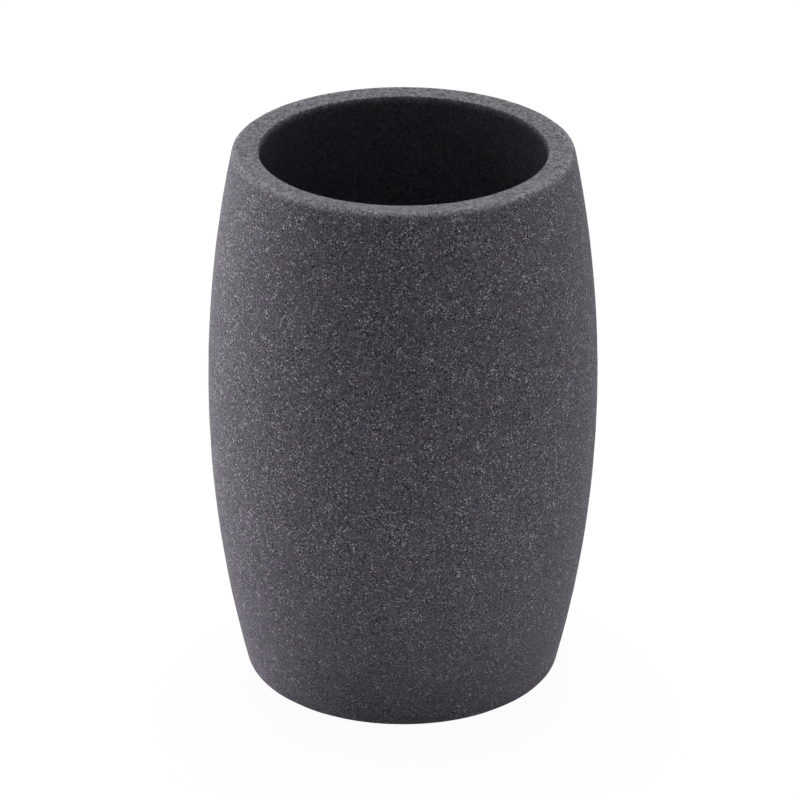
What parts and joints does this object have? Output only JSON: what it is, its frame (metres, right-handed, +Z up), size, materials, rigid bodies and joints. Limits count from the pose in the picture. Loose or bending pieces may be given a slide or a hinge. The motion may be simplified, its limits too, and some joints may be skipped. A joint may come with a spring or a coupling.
{
  "type": "toothbrush holder",
  "caption": "Open barrel-shaped tumbler that holds toothbrushes, with a thick rounded rim, a deep round hollow and a soft anti-slip pad let into its foot.",
  "frame": {"origin": "centre of the pad's underside, on the surface that the tumbler stands on", "axes": "+Z up along the axis that the tumbler is turned about; X and Y are any two level directions at right angles, because every section is round"},
  "size_m": [0.075, 0.075, 0.1083],
  "materials": {
    "stone_resin": "matte charcoal grey, finely speckled and sandy to the touch",
    "black_foam": "matte black closed-cell foam"
  },
  "bodies": {
    "root": {"tumbler_body": "stone_resin", "base_pad": "black_foam"}
  },
  "joints": []
}
